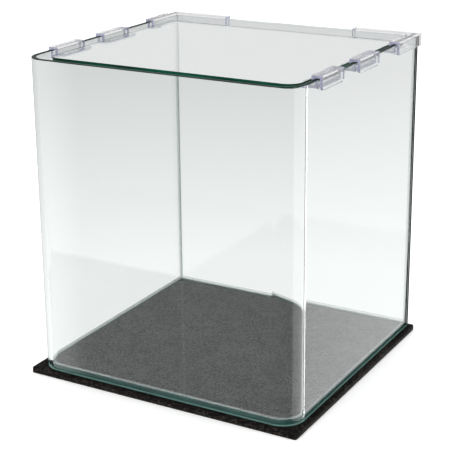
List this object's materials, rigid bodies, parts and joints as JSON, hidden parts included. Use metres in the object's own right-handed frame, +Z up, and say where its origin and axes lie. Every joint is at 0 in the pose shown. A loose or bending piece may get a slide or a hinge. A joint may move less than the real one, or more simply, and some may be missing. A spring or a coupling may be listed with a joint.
{
  "type": "glass small-pet tank",
  "caption": "Rimless cube tank for a small pet: one bent glass pane with round front corners, a loose glass lid on clear rim clips, and a foam mat underneath.",
  "frame": {"origin": "centre of the foam mat's underside, which is the bottom centre of the whole object", "axes": "+Z up, -Y towards the front with the two bent corners, +X to the right seen from the front"},
  "size_m": [0.312, 0.297, 0.3389],
  "materials": {
    "tank_glass": "polished",
    "lid_glass": "polished",
    "clear_silicone": "gloss",
    "clear_plastic": "gloss",
    "foam": "matt, fine-grained"
  },
  "bodies": {
    "mat": {"foam_mat": "foam"},
    "tank": {"bent_pane": "tank_glass", "back_pane": "tank_glass", "floor_pane": "tank_glass", "floor_seal": "clear_silicone", "back_left_seal": "clear_silicone", "back_right_seal": "clear_silicone", "corner_clip_left": "clear_plastic", "corner_clip_right": "clear_plastic"},
    "lid": {"lid_pane": "lid_glass"},
    "left_front_clip": {"clip_left_front": "clear_plastic"},
    "left_middle_clip": {"clip_left_middle": "clear_plastic"},
    "right_front_clip": {"clip_right_front": "clear_plastic"},
    "right_middle_clip": {"clip_right_middle": "clear_plastic"}
  },
  "joints": [
    {"name": "tank_lift", "type": "slide", "parent": "mat", "child": "tank", "axis": [0, 0, 1], "range_m": [0, 0.06]},
    {"name": "lid_lift", "type": "slide", "parent": "tank", "child": "lid", "axis": [0, 0, 1], "range_m": [0, 0.06]},
    {"name": "left_front_slide", "type": "slide", "parent": "tank", "child": "left_front_clip", "axis": [0, 1, 0], "range_m": [-0.022, 0.016]},
    {"name": "left_middle_slide", "type": "slide", "parent": "tank", "child": "left_middle_clip", "axis": [0, 1, 0], "range_m": [-0.016, 0.045]},
    {"name": "right_front_slide", "type": "slide", "parent": "tank", "child": "right_front_clip", "axis": [0, 1, 0], "range_m": [-0.022, 0.016]},
    {"name": "right_middle_slide", "type": "slide", "parent": "tank", "child": "right_middle_clip", "axis": [0, 1, 0], "range_m": [-0.016, 0.045]}
  ]
}
